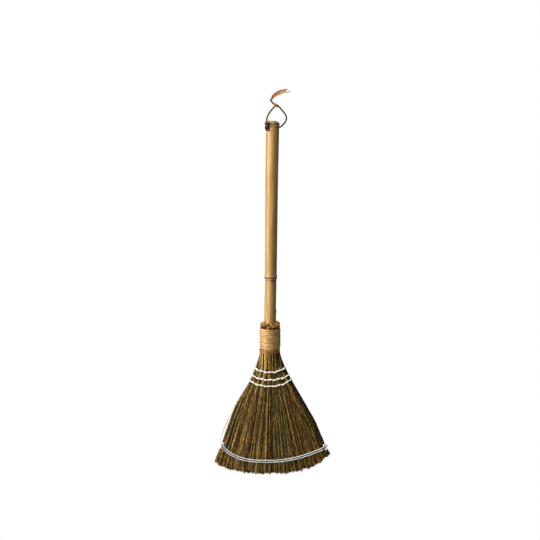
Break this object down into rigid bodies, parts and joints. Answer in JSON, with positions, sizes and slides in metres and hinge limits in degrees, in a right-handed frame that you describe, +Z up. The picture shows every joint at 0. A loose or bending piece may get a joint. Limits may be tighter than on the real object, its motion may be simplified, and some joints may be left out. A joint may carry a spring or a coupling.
{
  "type": "hand broom",
  "caption": "Hand broom with a straw fan, twine stitching, a rattan binding, a bamboo handle and a cord loop to hang it by.",
  "frame": {"origin": "inside the top of the cord loop, where a peg or hook carries the broom", "axes": "+Z up along the handle, +X to the right seen from the front, -Y towards the front"},
  "size_m": [0.2396, 0.0432, 0.7825],
  "materials": {
    "bamboo": "semi-gloss natural bamboo with darker node scars",
    "straw": "dry olive and gold broom straw",
    "rattan": "smooth peeled rattan strip",
    "hoop_cane": "orange-brown cane",
    "white_twine": "matt white cotton twine",
    "brown_cord": "dark brown twisted cord",
    "frayed_cord": "loose tan cord fibres",
    "wire": "dull annealed wire"
  },
  "bodies": {
    "hanging_loop": {"cord_in_hole": "brown_cord", "loop_strand_right": "brown_cord", "loop_strand_left": "brown_cord", "loop_hitch": "brown_cord", "side_knot": "brown_cord", "tail_knot": "brown_cord", "frayed_end": "frayed_cord"},
    "broom": {"bamboo_handle": "bamboo", "straw_tuft_front_1": "straw", "straw_tuft_front_2": "straw", "straw_tuft_front_3": "straw", "straw_tuft_front_4": "straw", "straw_tuft_front_5": "straw", "straw_tuft_front_6": "straw", "straw_tuft_front_7": "straw", "straw_tuft_back_1": "straw", "straw_tuft_back_2": "straw", "straw_tuft_back_3": "straw", "straw_tuft_back_4": "straw", "straw_tuft_back_5": "straw", "straw_tuft_back_6": "straw", "straw_tuft_back_7": "straw", "inner_tie_wire": "wire", "rattan_binding": "rattan", "cane_hoop": "hoop_cane", "stitch_row_1": "white_twine", "stitch_row_2": "white_twine", "stitch_row_3": "white_twine", "hem_thread_upper": "white_twine", "hem_thread_lower": "white_twine", "hem_knot_left": "white_twine", "hem_knot_right": "white_twine"}
  },
  "joints": [
    {"name": "loop_swing", "type": "hinge", "parent": "hanging_loop", "child": "broom", "pos_m": [-0.0088, 0, -0.0405], "axis": [0.6691, 0.7431, 0], "range_deg": [-90, 90]}
  ]
}
